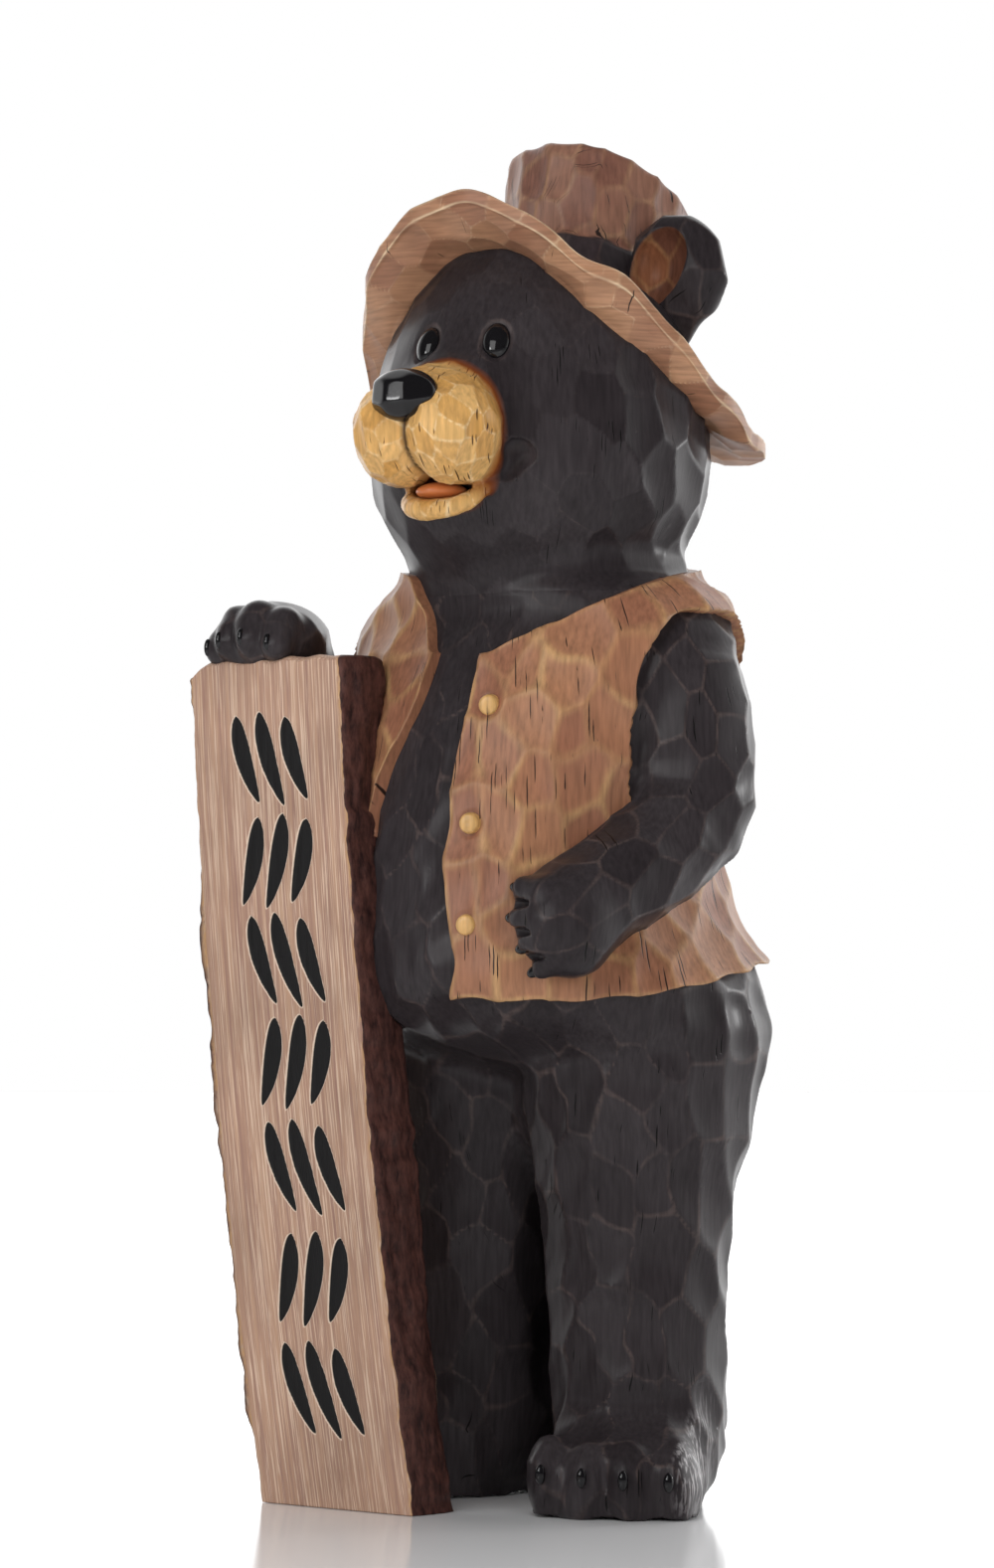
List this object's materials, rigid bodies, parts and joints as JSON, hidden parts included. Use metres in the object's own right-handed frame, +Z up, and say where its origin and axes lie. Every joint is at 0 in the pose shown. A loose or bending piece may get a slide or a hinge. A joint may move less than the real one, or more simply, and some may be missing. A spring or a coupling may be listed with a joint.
{
  "type": "standing bear statue",
  "caption": "Standing bear statue in a brimmed hat and open waistcoat, one paw resting on an upright plank sign. Cast, painted to look like carved wood, stands by its own weight.",
  "frame": {"origin": "middle of the bounding box of the footprint, on the surface that the statue stands on", "axes": "+Z up; the statue faces -Y; the bear's left side is +X"},
  "size_m": [0.3211, 0.3042, 0.7914],
  "materials": {
    "bear_fur": "cast resin painted brown-black over carved facets, semi-gloss",
    "tan_cloth": "cast resin painted tan with ochre ridges, satin",
    "ochre_snout": "cast resin painted ochre, satin",
    "black_gloss": "gloss black enamel",
    "plank": "cast resin with brushed grain, painted pale brown, matt, dark rough bark on the edges"
  },
  "bodies": {
    "root": {"bear": "bear_fur", "sign_board": "plank"}
  },
  "joints": []
}
